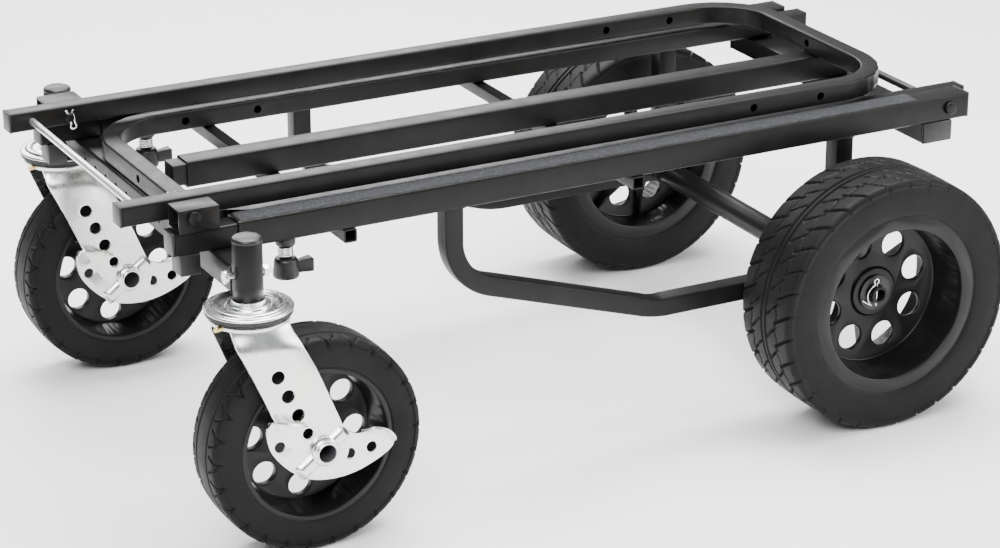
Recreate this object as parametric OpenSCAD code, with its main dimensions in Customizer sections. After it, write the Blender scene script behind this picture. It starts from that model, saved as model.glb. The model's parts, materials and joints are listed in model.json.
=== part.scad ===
// Convertible equipment hand truck: a telescoping square-tube frame on two big rear
// wheels and two braked swivel casters, with a folding U handle at each end.
// Origin: centre of the footprint, on the ground. +X points to the big wheels,
// +Z up; the left side is -Y. It is drawn pushed together with both handles folded.

/* [Frame] */
// Length of the outer rails
rail_length = 777; // [700:1:950]
// Width over the outer rails
deck_width = 359; // [320:1:440]
// Height of the top face of the rails above the ground
deck_height = 292; // [285:1:360]
// Side of the square outer rails
rail_size = 25.4; // [24:0.2:30]
// Wall of the frame tubes
rail_wall = 2; // [1.5:0.1:2.5]
// How far the front frame pulls out
frame_travel = 457; // [300:1:480]
// How much of the inner rails stays inside at full reach
rail_overlap = 85; // [60:1:120]
// How far the inner rails stand ahead of the outer rails when pushed together
nose_reach = 59; // [52:1:80]
// Gap on each side between the inner and outer rails
slide_gap = 0.35; // [0.2:0.05:0.6]
// Side of the light cross tubes under the rails
cross_size = 12.7; // [10:0.1:19]
// Width of the rear cross tube, front to back
rear_cross_w = 34; // [25:1:40]
// Height of the rear cross tube
rear_cross_h = 21; // [18:1:25]
// Thickness of the grip tape on the rails
tape_t = 1; // [0.5:0.1:1.5]

/* [Braces] */
// Side of the square brace tubes and rear posts
brace_size = 19; // [16:0.5:22]
// Distance of the brace posts ahead of the rear axle
brace_reach = 424; // [380:1:450]
// Angle of the sloping run of each brace
brace_slope = 17.6; // [12:0.1:22]
// Radius of the main brace bend on its centre line
brace_bend = 52; // [40:1:60]

/* [Handles] */
// Side of the square handle tube
handle_size = 19; // [16:0.5:20]
// Wall of the handle tube
handle_wall = 1.6; // [1.2:0.1:2.4]
// Gap between each handle leg and the outer rail beside it
handle_gap = 2.1; // [1.9:0.1:8]
// Radius of the handle bends on the centre line
handle_bend = 63.5; // [50:0.5:80]
// Distance from the front handle's cross bar to the rear ends of the rails
front_handle_back = 52; // [45:1:90]
// Distance from the rear handle's cross bar to the front ends of the inner rails
rear_handle_back = 35; // [34:1:60]
// Length of the front handle legs ahead of the pivot
front_tip = 55; // [45:1:60]
// Length of the rear handle legs behind the pivot
rear_tip = 37; // [25:1:45]
// Diameter of the accessory holes through the handles
handle_hole = 8; // [5:0.5:10]
// Distance from the cross bar to the first hole
hole_start = 102; // [90:1:120]
// Distance between the two holes of a leg
hole_pitch = 76.2; // [50:0.1:90]
// Diameter of the pivot pins
pin_d = 8; // [6:0.5:9]
// Diameter of the cross rod near the front handle tips
rod_d = 6.5; // [5:0.5:8]

/* [Casters] */
// Diameter of the caster wheels
caster_d = 203.2; // [180:0.2:210]
// Width of the caster tyres
caster_w = 50.8; // [40:0.2:56]
// Distance of the caster axle behind its swivel
caster_trail = 52; // [40:1:60]
// Distance of each swivel axis outside the frame
caster_out = 53.5; // [51:0.5:70]
// Outer diameter of the caster sockets
socket_d = 27; // [26:0.1:32]
// Height of the caster sockets
socket_h = 52; // [48:1:64]
// Diameter of the raceway plate on top of the fork
race_d = 79; // [70:1:86]
// Plate thickness of the fork
fork_t = 4; // [3:0.5:5]
// Diameter of the four holes in each fork leg
fork_hole = 12.5; // [8:0.5:14]
// Bore of the hollow caster axle
caster_bore = 16; // [10:0.5:17]

/* [Rear wheels] */
// Diameter of the rear wheels
wheel_d = 254; // [240:1:270]
// Width of the rear tyres
wheel_w = 83; // [70:1:86]
// Gap between each rear wheel and the rail above it
wheel_gap = 15.5; // [12:0.5:30]
// Distance of the rear axle ahead of the rail ends
axle_inset = 140; // [130:1:170]
// Diameter of the axle stub inside the hubs
stub_d = 17; // [15:0.5:19]
// Diameter of the axle tube between the braces
axle_d = 25.4; // [22:0.2:28]
// Diameter of the round holes in the wheel webs
web_hole = 25; // [18:1:28]
// Number of round holes in each wheel web
web_holes = 8; // [6:1:9]
// Radius of the circle of web holes
web_ring = 50; // [46:1:54]
// Running clearance of the wheels on their axles
run_gap = 0.05; // [0.02:0.01:0.1]

/* [Lock knobs] */
// Distance of the lock knobs behind the front ends of the outer rails
knob_setback = 49; // [35:1:70]
// Diameter of the knob body
knob_d = 24; // [20:1:26]
// Diameter of the clamp screw
screw_d = 8; // [6:0.5:10]

/* [Hidden] */
$fn = 64;
eps = 0.01;

// Places along the frame
pivot_inset = 20;
pivot_setback = 17;
cap_t = 2.5;
front_part = rail_length + nose_reach - pivot_setback + front_tip + cap_t;
rear_part = rear_tip - pivot_inset;
rear_x = (front_part - rear_part) / 2;
front_x = rear_x - rail_length;
nose_x = front_x - nose_reach;
axle_x = rear_x - axle_inset;
axle_z = wheel_d / 2;
post_x = axle_x - brace_reach;
brace_flat = 211;
brace_knee = 70;
rail_y = deck_width / 2 - rail_size / 2;
handle_width = deck_width - 2 * rail_size - 2 * handle_gap;
caster_track = deck_width + 2 * caster_out;
wheel_track = deck_width + 2 * wheel_gap + 2 * wheel_w;
front_handle_reach = rail_length + nose_reach - pivot_setback - front_handle_back;
rear_handle_reach = rail_length + nose_reach - rear_handle_back - pivot_inset;
rail_z = deck_height - rail_size / 2;
rail_bottom = deck_height - rail_size;
inner_size = rail_size - 2 * rail_wall - 2 * slide_gap;
inner_length = nose_reach + frame_travel + rail_overlap;
inner_bottom = rail_z - inner_size / 2;
plug_t = 3;
flange_t = 3;

// Small cross tubes and the clamp screws
center_x = front_x + 20;
front_cross_x = front_x + 107;
middle_cross_x = front_x + 404;
rear_cross_x = rear_x - 16 - rear_cross_w / 2;
knob_x = front_x + knob_setback;
collar_h = 8;
knob_gap = 12;
knob_h = 19;
screw_reach = knob_h + knob_gap + collar_h - 1;

// Handles
stack_gap = 5.3;
rear_handle_z = inner_bottom + 0.8 + handle_size / 2;
front_handle_z = max(rear_handle_z + handle_size / 2 + stack_gap, deck_height + 0.5) + handle_size / 2;
rear_pivot_x = rear_x - pivot_inset;
front_pivot_x = nose_x + pivot_setback;
bracket_l = 38;
rod_inset = 20;
pin_gap = 0.05;

// Casters
swivel_x = nose_x + 43;
swivel_y = caster_track / 2;
caster_axle_z = caster_d / 2;
race_top = rail_bottom - rail_size - 2.6;
crown_z = race_top - 14;
seal_t = 3;
socket_gap = 5;
leg_in = caster_w / 2 + 4;
leg_out = leg_in + fork_t;
stem_d = socket_d - 2 * rail_wall - 0.2;
king_d = 16;
cross_x = min(swivel_x + 2.7, front_x - rail_size / 2 - 0.6);
lock_pin_z = race_top + 27;
lock_pin_d = 6;
caster_axle_d = 21;
nut_d = 26;

// Rear wheels
wheel_out = wheel_track / 2;
wheel_in = wheel_out - wheel_w;
web_t = 5;
rim_lip_r = 91;
dish_r = 76;
hub_r = 24;
hub_face = wheel_out - wheel_w / 2 + 1;
washer_t = 2;
clip_wire = 2.4;
clip_y = hub_face + washer_t + 3;

module at_sides() { for (s = [-1, 1]) translate([0, s * rail_y, 0]) children(); }
module left_side() { translate([0, -rail_y, 0]) children(); }
module right_side() { translate([0, rail_y, 0]) children(); }

// A square tube along X from x0 to x1, centred on z
module tube_x(x0, x1, z, w, h, wall) {
    translate([x0, -w / 2, z - h / 2]) difference() {
        cube([x1 - x0, w, h]);
        translate([-1, wall, wall]) cube([x1 - x0 + 2, w - 2 * wall, h - 2 * wall]);
    }
}

// A square tube along Y, centred on x, y = 0 and z
module tube_y(x, len, z, w, h, wall) {
    translate([x - w / 2, -len / 2, z - h / 2]) difference() {
        cube([w, len, h]);
        translate([wall, -1, wall]) cube([w - 2 * wall, len + 2, h - 2 * wall]);
    }
}

// A round bar along Y through the given point
module rod_y(x, y0, y1, z, d) {
    translate([x, y0, z]) rotate([-90, 0, 0]) cylinder(d = d, h = y1 - y0);
}

// ---------------------------------------------------------------- rear frame
module outer_rail() {
    difference() {
        tube_x(front_x, rear_x, rail_z, rail_size, rail_size, rail_wall);
        rod_y(rear_pivot_x, -rail_size, rail_size, rear_handle_z, pin_d + 2 * pin_gap);
        translate([knob_x, 0, rail_bottom - 1]) cylinder(d = screw_d + 0.4, h = rail_wall + 2);
    }
}
module left_outer_rail() { color("dimgray") left_side() outer_rail(); }
module right_outer_rail() { color("dimgray") right_side() outer_rail(); }
module center_outer_tube() {
    color("dimgray")
        tube_x(center_x, rear_pivot_x - pin_d, rail_z, rail_size, rail_size, rail_wall);
}
// The capped insert that shows at the front end of the centre tube
module center_tube_insert() {
    color("black") difference() {
        translate([center_x - 14, -inner_size / 2, inner_bottom]) cube([60, inner_size, inner_size]);
        translate([center_x - 14 + rail_wall, -inner_size / 2 + rail_wall, inner_bottom + rail_wall])
            cube([60, inner_size - 2 * rail_wall, inner_size - 2 * rail_wall]);
    }
}
module light_cross(x) {
    tube_y(x, deck_width, rail_bottom - cross_size / 2, cross_size, cross_size, 1.5);
}
module front_cross_tube() { color("dimgray") light_cross(front_cross_x); }
module middle_cross_tube() { color("dimgray") light_cross(middle_cross_x); }
module rear_cross_tube() {
    color("dimgray") tube_y(rear_cross_x, deck_width - 2 * plug_t, rail_bottom - rear_cross_h / 2,
                            rear_cross_w, rear_cross_h, rail_wall);
}

// The bent brace: a short post, a bend, a sloping run and a level run at axle height
function bend_points(c, r, a0, a1, n) =
    [for (i = [0 : n]) c + r * [cos(a0 + (a1 - a0) * i / n), sin(a0 + (a1 - a0) * i / n)]];
module brace_run(h, grow) {
    turn = 90 - brace_slope;
    knee_x = axle_x - brace_flat;
    corner_z = axle_z + (knee_x - post_x) * tan(brace_slope);
    c1 = [post_x + brace_bend, corner_z + brace_bend * tan(turn / 2)];
    c2 = [knee_x + brace_knee * tan(brace_slope / 2), axle_z + brace_knee];
    rotate([90, 0, 0]) linear_extrude(2 * h, center = true) polygon(concat(
        [[post_x - h, rail_bottom + grow]],
        bend_points(c1, brace_bend + h, 180, 180 + turn, 20),
        bend_points(c2, brace_knee + h, -90 - brace_slope, -90, 6),
        [[axle_x + grow, axle_z - h], [axle_x + grow, axle_z + h]],
        bend_points(c2, brace_knee - h, -90, -90 - brace_slope, 6),
        bend_points(c1, brace_bend - h, 180 + turn, 180, 20),
        [[post_x + h, rail_bottom + grow]]));
}
module brace_tube() {
    difference() {
        brace_run(brace_size / 2, 0);
        brace_run(brace_size / 2 - rail_wall, 1);
        rod_y(axle_x, -brace_size, brace_size, axle_z, axle_d);
    }
}
module left_brace_tube() { color("dimgray") left_side() brace_tube(); }
module right_brace_tube() { color("dimgray") right_side() brace_tube(); }
module rear_posts() {
    color("dimgray") at_sides() difference() {
        translate([axle_x - brace_size / 2, -brace_size / 2, axle_z + brace_size / 2])
            cube([brace_size, brace_size, rail_bottom - axle_z - brace_size / 2]);
        translate([axle_x - brace_size / 2 + rail_wall, -brace_size / 2 + rail_wall, axle_z])
            cube([brace_size - 2 * rail_wall, brace_size - 2 * rail_wall, rail_bottom - axle_z + 1]);
        rod_y(axle_x, -brace_size, brace_size, axle_z, axle_d);
    }
}
// A thick tube between the braces with thinner hollow stubs for the hubs
module rear_axle() {
    stub_end = hub_face + 9;
    color("dimgray") difference() {
        union() {
            rod_y(axle_x, -wheel_in - 1, wheel_in + 1, axle_z, axle_d);
            rod_y(axle_x, -stub_end, stub_end, axle_z, stub_d);
        }
        rod_y(axle_x, -stub_end - 1, stub_end + 1, axle_z, stub_d - 5);
        for (s = [-1, 1]) translate([axle_x, s * clip_y, axle_z - stub_d])
            cylinder(d = clip_wire + 0.3, h = 2 * stub_d);
    }
}
module grip_tapes() {
    color("black") at_sides() translate([front_x + 3, -rail_size / 2 + 1.5, deck_height])
        cube([rail_length - 60, rail_size - 3, tape_t]);
}
module rail_end_plugs() {
    color("black") {
        at_sides() {
            translate([rear_x, -rail_size / 2, rail_bottom]) cube([plug_t, rail_size, rail_size]);
            translate([rear_x - 8, -rail_size / 2 + rail_wall, rail_bottom + rail_wall])
                cube([8 + eps, rail_size - 2 * rail_wall, rail_size - 2 * rail_wall]);
        }
        for (s = [-1, 1])
            translate([rear_cross_x - rear_cross_w / 2, s * (deck_width / 2 - plug_t / 2) - plug_t / 2,
                       rail_bottom - rear_cross_h]) cube([rear_cross_w, plug_t, rear_cross_h]);
    }
}
module axle_washers() {
    color("dimgray") for (s = [-1, 1]) translate([0, s * (hub_face + washer_t / 2), 0]) difference() {
        rod_y(axle_x, -washer_t / 2 + 0.1, washer_t / 2, axle_z, 36);
        rod_y(axle_x, -washer_t, washer_t, axle_z, stub_d + 0.4);
    }
}
// A spring clip: a straight leg through the stub and a curved leg round it
module axle_clips() {
    color("silver") for (s = [-1, 1]) translate([axle_x, s * clip_y, axle_z]) {
        translate([0, 0, -stub_d / 2 - 4]) cylinder(d = clip_wire, h = stub_d + 12);
        translate([0, 0, stub_d / 2 + 11]) rotate([90, 0, 0])
            rotate_extrude(angle = 360) translate([4, 0]) circle(d = clip_wire, $fn = 24);
    }
}
module lock_collars() {
    color("black") at_sides() translate([knob_x, 0, rail_bottom - collar_h]) difference() {
        cylinder(d = 18, h = collar_h);
        translate([0, 0, -1]) cylinder(d = screw_d + 2 * run_gap, h = collar_h + 2);
    }
}
// Each spring is drawn as rings joined in one sleeve of its true size
module lock_springs() {
    color("silver") at_sides() translate([knob_x, 0, rail_bottom - collar_h - knob_gap + 0.5])
        difference() {
            cylinder(d = 14, h = knob_gap - 1);
            translate([0, 0, -1]) cylinder(d = 10.5, h = knob_gap + 2);
        }
}
module rear_pivot_rod() {
    color("silver") {
        rod_y(rear_pivot_x, -deck_width / 2 - 1, deck_width / 2 + 1, rear_handle_z, pin_d);
        for (s = [-1, 1]) rod_y(rear_pivot_x, s * (deck_width / 2 + 2) - 1.7,
                                s * (deck_width / 2 + 2) + 1.7, rear_handle_z, 13);
    }
}

// --------------------------------------------------------------- front frame
module inner_rail() {
    tube_x(nose_x, nose_x + inner_length, rail_z, inner_size, inner_size, rail_wall);
}
module left_inner_rail() { color("dimgray") left_side() inner_rail(); }
module right_inner_rail() { color("dimgray") right_side() inner_rail(); }
cross_len = caster_track - socket_d + 6;
module caster_cross_tube() {
    color("dimgray") difference() {
        tube_y(cross_x, cross_len, inner_bottom - rail_size / 2, rail_size, rail_size, rail_wall);
        for (s = [-1, 1]) translate([swivel_x, s * swivel_y, 0])
            cylinder(d = socket_d, h = deck_height);
        for (i = [-5 : 5]) translate([cross_x - rail_size, i * 26.7, inner_bottom - rail_size / 2])
            rotate([0, 90, 0]) cylinder(d = 5, h = rail_size);
    }
}
module caster_sockets() {
    color("dimgray") for (s = [-1, 1]) translate([swivel_x, s * swivel_y, race_top + socket_gap]) difference() {
        cylinder(d = socket_d, h = socket_h);
        translate([0, 0, -1]) cylinder(d = socket_d - 2 * rail_wall, h = socket_h + 2);
        translate([0, 0, lock_pin_z - race_top - socket_gap]) rotate([0, 90, 0])
            cylinder(d = lock_pin_d + 0.2, h = 2 * socket_d, center = true);
    }
}
module socket_caps() {
    color("black") for (s = [-1, 1]) translate([swivel_x, s * swivel_y, race_top + socket_gap + socket_h]) {
        rotate_extrude() polygon([[0, 0], [socket_d / 2, 0], [socket_d / 2, 2], [socket_d / 2 - 1, 3.6],
                                  [socket_d / 2 - 4, 4.8], [0, 5.4]]);
        translate([0, 0, -9]) cylinder(d = socket_d - 2 * rail_wall, h = 9 + eps);
    }
}
// Each bracket stands on the nose of an inner rail and holds one end of a pivot pin
bracket_y = handle_width / 2 + 1.5;
bracket_w = deck_width / 2 - bracket_y;
module handle_brackets() {
    color("dimgray") for (s = [-1, 1]) translate([0, s * (bracket_y + bracket_w / 2), 0]) difference() {
        tube_x(nose_x + 3, nose_x + 3 + bracket_l, (rail_z + inner_size / 2 + bracket_top) / 2,
               bracket_w, bracket_top - rail_z - inner_size / 2, 2);
        rod_y(front_pivot_x, -deck_width, deck_width, front_handle_z, pin_d);
    }
}
bracket_top = front_handle_z + 7.5;
module nose_blocks() {
    color("black") for (s = [-1, 1])
        translate([nose_x + 4, s * (rail_y - 1) - 11, inner_bottom - 20]) cube([19, 22, 20]);
}
module inner_rail_caps() {
    color("black") at_sides() {
        translate([nose_x - plug_t, -inner_size / 2, inner_bottom]) cube([plug_t, inner_size, inner_size]);
        translate([nose_x, -inner_size / 2 + rail_wall, inner_bottom + rail_wall])
            cube([8, inner_size - 2 * rail_wall, inner_size - 2 * rail_wall]);
    }
}
leg_y = handle_width / 2 - handle_size / 2;
pin_in = handle_width / 2 - handle_size - 9;
module handle_pivot_pins() {
    color("silver") for (s = [-1, 1]) {
        rod_y(front_pivot_x, min(s * pin_in, s * (deck_width / 2)), max(s * pin_in, s * (deck_width / 2)),
              front_handle_z, pin_d);
        rod_y(front_pivot_x, min(s * (deck_width / 2), s * (deck_width / 2 + flange_t)),
              max(s * (deck_width / 2), s * (deck_width / 2 + flange_t)), front_handle_z, 11.5);
    }
}
module pivot_pin_clips() {
    color("silver") for (s = [-1, 1]) translate([front_pivot_x, s * (pin_in + 3.5), front_handle_z])
        rotate([90, 0, 0]) rotate_extrude() translate([pin_d / 2 + 0.95, 0]) circle(d = 1.8, $fn = 24);
}
module caster_stem() {
    translate([swivel_x, 0, race_top - 4]) {
        difference() {
            union() {
                rotate_extrude($fn = 96) polygon([[0, 0], [race_d / 2 - 1.5, 0], [race_d / 2, 1.2],
                    [race_d / 2, 3], [race_d / 2 - 2, 4.6], [race_d / 2 - 9, 5], [race_d / 2 - 12, 2.6],
                    [0, 2.6]]);
                cylinder(d = stem_d, h = socket_h - 6);
                cylinder(d = socket_d + 3, h = socket_gap + 3.6);
                translate([0, 0, crown_z - race_top]) cylinder(d = king_d, h = race_top - crown_z);
                translate([0, 0, crown_z - race_top]) cylinder(d = king_d + 8, h = 3.6);
            }
            translate([0, 0, lock_pin_z - race_top + 4]) rotate([0, 90, 0])
                cylinder(d = lock_pin_d + 0.2, h = 2 * socket_d, center = true);
        }
    }
}
module left_caster_stem() { color("silver") translate([0, -swivel_y, 0]) caster_stem(); }
module right_caster_stem() { color("silver") translate([0, swivel_y, 0]) caster_stem(); }
module stem_lock_pins() {
    color("silver") for (s = [-1, 1]) translate([swivel_x, s * swivel_y, lock_pin_z]) {
        rotate([0, 90, 0]) cylinder(d = lock_pin_d, h = socket_d + 18, center = true);
        translate([-socket_d / 2 - 9, 0, 0]) rotate([0, 90, 0]) cylinder(d = 12, h = 3);
        translate([socket_d / 2 + 0.5, 0, 0]) rotate([0, 90, 0]) difference() {
            cylinder(d = 11, h = 5, $fn = 6);
            translate([0, 0, -1]) cylinder(d = lock_pin_d - 1, h = 7);
        }
    }
}

// -------------------------------------------------------------------- handles
// One U: the legs start at x = 0 and run to +X, the cross bar ends at reach
module handle_u(reach, w) {
    for (s = [-1, 1]) {
        translate([-1, s * leg_y - w / 2, -w / 2]) cube([reach - handle_size / 2 - handle_bend + 1, w, w]);
        translate([reach - handle_size / 2 - handle_bend, s * (leg_y - handle_bend), -w / 2])
            rotate([0, 0, s < 0 ? -90 : 0]) rotate_extrude(angle = 90, $fn = 96)
                translate([handle_bend - w / 2, 0]) square(w);
    }
    translate([reach - handle_size / 2 - w / 2, -leg_y + handle_bend, -w / 2])
        cube([w, 2 * (leg_y - handle_bend), w]);
}
module handle(reach, tip) {
    difference() {
        union() {
            handle_u(reach, handle_size);
            for (s = [-1, 1]) translate([-tip, s * leg_y - handle_size / 2, -handle_size / 2])
                cube([tip + 1, handle_size, handle_size]);
        }
        handle_u(reach, handle_size - 2 * handle_wall);
        for (s = [-1, 1])
            translate([-tip - 1, s * leg_y - handle_size / 2 + handle_wall, -handle_size / 2 + handle_wall])
                cube([tip + 1, handle_size - 2 * handle_wall, handle_size - 2 * handle_wall]);
        rod_y(0, -handle_width, handle_width, 0, pin_d + 2 * pin_gap);
        for (i = [0, 1])
            rod_y(reach - hole_start - i * hole_pitch, -handle_width, handle_width, 0, handle_hole);
        translate([reach - 2 * handle_size, 0, 0]) rotate([0, 90, 0])
            cylinder(d = handle_hole, h = 3 * handle_size);
        if (tip > rod_inset + pin_d + rod_d)
            rod_y(-tip + rod_inset, -handle_width, handle_width, 0, rod_d);
    }
}
module front_handle_tube() {
    color("dimgray") translate([front_pivot_x, 0, front_handle_z]) handle(front_handle_reach, front_tip);
}
module front_handle_rod() {
    color("gainsboro") rod_y(front_pivot_x - front_tip + rod_inset, -handle_width / 2 + 1,
                             handle_width / 2 - 1, front_handle_z, rod_d);
}
module handle_caps(tip) {
    for (s = [-1, 1]) translate([-tip, s * leg_y - handle_size / 2, -handle_size / 2]) {
        cube([cap_t, handle_size, handle_size]);
        translate([cap_t - eps, handle_wall, handle_wall])
            cube([8, handle_size - 2 * handle_wall, handle_size - 2 * handle_wall]);
    }
}
module front_handle_caps() {
    color("black") translate([front_pivot_x, 0, front_handle_z]) handle_caps(front_tip + cap_t);
}
// The rear handle is the same U turned round, lying under the front one
module rear_handle_tube() {
    color("dimgray") translate([rear_pivot_x, 0, rear_handle_z]) rotate([0, 0, 180])
        handle(rear_handle_reach, rear_tip - cap_t);
}
module rear_handle_caps() {
    color("black") translate([rear_pivot_x, 0, rear_handle_z]) rotate([0, 0, 180]) handle_caps(rear_tip);
}

// -------------------------------------------------------------------- casters
// Everything here is drawn with the swivel axis on y = 0
module fork_leg_shape() {
    difference() {
        union() {
            polygon([[-28, crown_z], [28, crown_z], [46, crown_z - 44], [caster_trail + 23, caster_axle_z + 8],
                     [caster_trail - 21, caster_axle_z - 8], [4, caster_axle_z + 40],
                     [-25, crown_z - 18]]);
            translate([caster_trail, caster_axle_z]) circle(r = 24);
        }
        translate([caster_trail, caster_axle_z]) circle(d = caster_axle_d + 0.2);
        for (i = [1 : 4])
            translate([caster_trail - 6 - 9 * i, caster_axle_z + 19.5 * i]) circle(d = fork_hole);
    }
}
module caster_fork() {
    translate([swivel_x, 0, 0]) {
        difference() {
            union() {
                translate([0, 0, crown_z]) cylinder(d = race_d - 6, h = 4, $fn = 96);
                translate([-28, -leg_out, crown_z]) cube([56, 2 * leg_out, 4]);
                translate([0, 0, crown_z + 4 - eps]) cylinder(d = race_d - 9, h = 3, $fn = 96);
            }
            translate([0, 0, crown_z - 1]) cylinder(d = king_d + 2 * run_gap, h = 20);
        }
        for (s = [-1, 1]) translate([0, s * (leg_in + fork_t / 2) + fork_t / 2, 0]) rotate([90, 0, 0])
            linear_extrude(fork_t) fork_leg_shape();
    }
}
module left_caster_fork() { color("silver") translate([0, -swivel_y, 0]) caster_fork(); }
module right_caster_fork() { color("silver") translate([0, swivel_y, 0]) caster_fork(); }
module swivel_seal() {
    translate([swivel_x, 0, race_top - 7]) difference() {
        cylinder(d = race_d - 1, h = seal_t - 0.4, $fn = 96);
        translate([0, 0, -1]) cylinder(d = race_d - 14, h = seal_t + 2, $fn = 96);
    }
}
module left_swivel_seal() { color("black") translate([0, -swivel_y, 0]) swivel_seal(); }
module right_swivel_seal() { color("black") translate([0, swivel_y, 0]) swivel_seal(); }
module grease_fitting() {
    translate([swivel_x, 0, crown_z + 2]) rotate([0, 0, 205])
        translate([race_d / 2 - 3 - eps, 0, 0]) rotate([0, 90, 0]) {
            cylinder(d = 5.5, h = 4, $fn = 6);
            translate([0, 0, 4 - eps]) cylinder(d = 4, h = 3);
        }
}
module left_grease_fitting() { color("gold") translate([0, -swivel_y, 0]) grease_fitting(); }
module right_grease_fitting() { color("gold") translate([0, swivel_y, 0]) grease_fitting(); }
// A hollow axle with a nut on each end, outside the fork legs
module caster_axle() {
    x = swivel_x + caster_trail;
    nut_in = leg_out + 3.2;
    difference() {
        union() {
            rod_y(x, -nut_in - 5, leg_out + 5, caster_axle_z, caster_axle_d);
            rod_y(x, -nut_in - 6, -nut_in, caster_axle_z, nut_d);
            rod_y(x, leg_out + 0.1, leg_out + 6, caster_axle_z, nut_d);
        }
        rod_y(x, -leg_out - 20, leg_out + 20, caster_axle_z, caster_bore);
    }
}
module left_caster_axle() { color("silver") translate([0, -swivel_y, 0]) caster_axle(); }
module right_caster_axle() { color("silver") translate([0, swivel_y, 0]) caster_axle(); }
caster_lip_r = 73;
caster_hub_r = 19;
caster_bush_r = caster_axle_d / 2 + 3;
module caster_wheel_place() {
    translate([swivel_x + caster_trail, 0, caster_axle_z]) rotate([90, 0, 0]) children();
}
// Deep dish on the left face; the web lies past the middle of the wheel
module caster_rim() {
    h = caster_w / 2;
    caster_wheel_place() difference() {
        rotate_extrude($fn = 128) polygon([[caster_bush_r, -h + 1], [caster_hub_r, -h + 1],
            [caster_hub_r, -16], [caster_lip_r - 9, -16], [caster_lip_r - 6, -h + 2],
            [caster_lip_r, -h + 2], [caster_lip_r, h - 2], [caster_lip_r - 5, h - 2],
            [caster_lip_r - 10, -8], [caster_hub_r + 2, -8], [caster_hub_r, h - 1],
            [caster_bush_r, h - 1]]);
        for (i = [0 : web_holes - 1]) rotate([0, 0, i * 360 / web_holes + 40])
            translate([web_ring, 0, -h]) cylinder(d = web_hole - 3, h = 2 * h);
    }
}
module left_caster_rim() { color("dimgray") translate([0, -swivel_y, 0]) caster_rim(); }
module right_caster_rim() { color("dimgray") translate([0, swivel_y, 0]) caster_rim(); }
// A tyre band between radius r0 and r1 with rounded shoulders
module tyre_ring(r0, r1, w, shoulder) {
    rotate_extrude($fn = 128) difference() {
        translate([r0, -w / 2]) square([r1 - r0, w]);
        for (s = [-1, 1]) translate([r1 - shoulder, s * (w / 2 - shoulder)]) difference() {
            translate([0, s < 0 ? -shoulder - 1 : 0]) square(shoulder + 1);
            circle(r = shoulder);
        }
    }
}
module caster_tyre() {
    caster_wheel_place() tyre_ring(caster_lip_r, caster_d / 2, caster_w, 9);
}
module left_caster_tyre() { color("black") translate([0, -swivel_y, 0]) caster_tyre(); }
module right_caster_tyre() { color("black") translate([0, swivel_y, 0]) caster_tyre(); }
module bush(x, y0, y1, z, d_in, d_out) {
    difference() {
        rod_y(x, y0, y1, z, d_out);
        rod_y(x, y0 - 1, y1 + 1, z, d_in);
    }
}
module caster_bush() {
    h = caster_w / 2;
    bush(swivel_x + caster_trail, -h, h, caster_axle_z, caster_axle_d + 2 * run_gap, 2 * caster_bush_r);
}
module left_caster_bush() { color("silver") translate([0, -swivel_y, 0]) caster_bush(); }
module right_caster_bush() { color("silver") translate([0, swivel_y, 0]) caster_bush(); }
// The rocker pedal: a crescent plate on the axle with a foot flange at each end
rocker_t = 2.2;
rocker_hole = 10;
flange_w = 11;
module rocker_shape() {
    difference() {
        polygon([[-51, 37], [-34, 31], [-17, 27], [0, 24], [18, 17], [30, 10], [44, 11], [60, 5], [68, -4],
                 [64, -11], [50, -20], [30, -27], [9, -29], [-11, -26], [-35, -11], [-49, 8], [-54, 22]]);
        circle(d = caster_axle_d + 2 * run_gap);
        for (p = [[-42, 12], [-15, 19.5], [25, -8], [46, -6]]) translate(p) circle(d = rocker_hole);
    }
}
// A lip along the plate's upper edge, turned outward for the foot
module foot_flange(path) {
    n = len(path);
    rotate([90, 0, 0]) linear_extrude(flange_w)
        polygon([for (i = [0 : 2 * n - 1]) i < n ? path[i] + [0, rocker_t * 0.7] :
            path[2 * n - 1 - i] - [0, rocker_t * 0.5]]);
}
module brake_rocker() {
    y0 = -leg_out - 0.5;
    translate([swivel_x + caster_trail, y0, caster_axle_z]) {
        rotate([90, 0, 0]) linear_extrude(rocker_t) rocker_shape();
        foot_flange([[-53.5, 33], [-49.5, 35.5], [-34, 30], [-18, 26.3]]);
        foot_flange([[38, 9.4], [45, 10], [60, 4], [67.5, -4.2]]);
    }
}
module left_brake_rocker() { color("silver") translate([0, -swivel_y, 0]) brake_rocker(); }
module right_brake_rocker() { color("silver") translate([0, swivel_y, 0]) brake_rocker(); }

// ---------------------------------------------------------------- rear wheels
// Drawn with z pointing outward; the web lies near the middle of the wheel
module rear_wheel_place(side) {
    translate([axle_x, side * (wheel_out - wheel_w / 2), axle_z]) rotate([side * -90, 0, 0])
        children();
}
bush_r = stub_d / 2 + 3;
module rear_rim(side) {
    h = wheel_w / 2;
    rear_wheel_place(side) difference() {
        rotate_extrude($fn = 128) polygon([[bush_r, -h + 2], [hub_r, -h + 2], [hub_r, -4 - web_t],
            [dish_r - 2, -4 - web_t], [dish_r, -h + 3], [rim_lip_r, -h + 3], [rim_lip_r, h - 3],
            [dish_r, h - 3], [dish_r - 4, -4], [hub_r + 1, -4], [hub_r, 0], [bush_r, 0]]);
        for (i = [0 : web_holes - 1]) rotate([0, 0, i * 360 / web_holes + 18])
            translate([web_ring, 0, -h]) cylinder(d = web_hole, h = 2 * h);
    }
}
module left_rear_rim() { color("dimgray") rear_rim(-1); }
module right_rear_rim() { color("dimgray") rear_rim(1); }
module rear_tyre(side) { rear_wheel_place(side) tyre_ring(rim_lip_r, wheel_d / 2, wheel_w, 10); }
module left_rear_tyre() { color("black") rear_tyre(-1); }
module right_rear_tyre() { color("black") rear_tyre(1); }
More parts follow.
